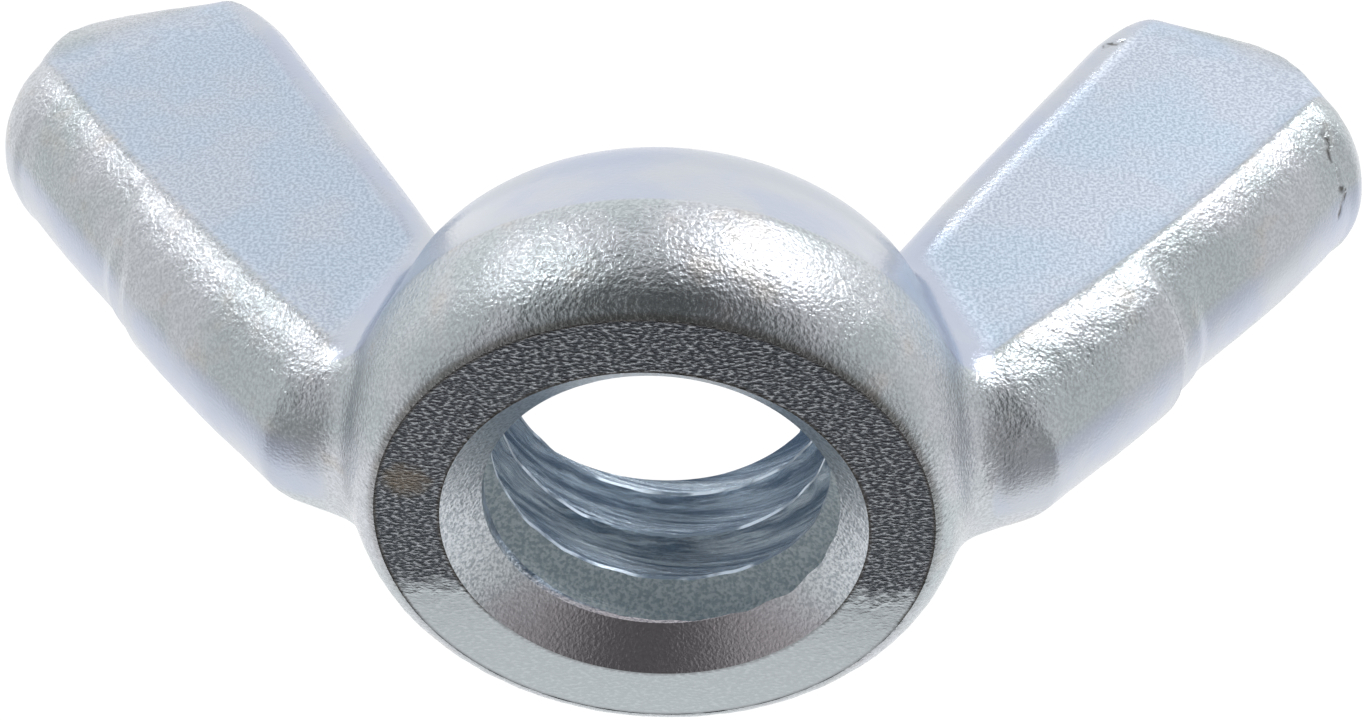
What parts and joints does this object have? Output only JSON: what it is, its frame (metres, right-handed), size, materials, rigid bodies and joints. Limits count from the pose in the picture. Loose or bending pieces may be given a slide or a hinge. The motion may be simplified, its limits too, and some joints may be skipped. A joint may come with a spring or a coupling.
{
  "type": "wing nut",
  "caption": "Forged wing nut, zinc plated: a barrel-shaped boss with a countersunk tapped hole and thick blade wings that rise to either side for turning by hand.",
  "frame": {"origin": "middle of the bearing face, on the thread axis; the part stands on this face", "axes": "+Z along the thread axis from the bearing face towards the wings; the wings spread along X; Y is the thickness of the blades"},
  "size_m": [0.0496, 0.02, 0.0244],
  "materials": {
    "zinc_plated_steel": "cold-forged steel, electroplated with zinc and clear chromate, satin"
  },
  "bodies": {
    "root": {"wing_nut": "zinc_plated_steel"}
  },
  "joints": []
}
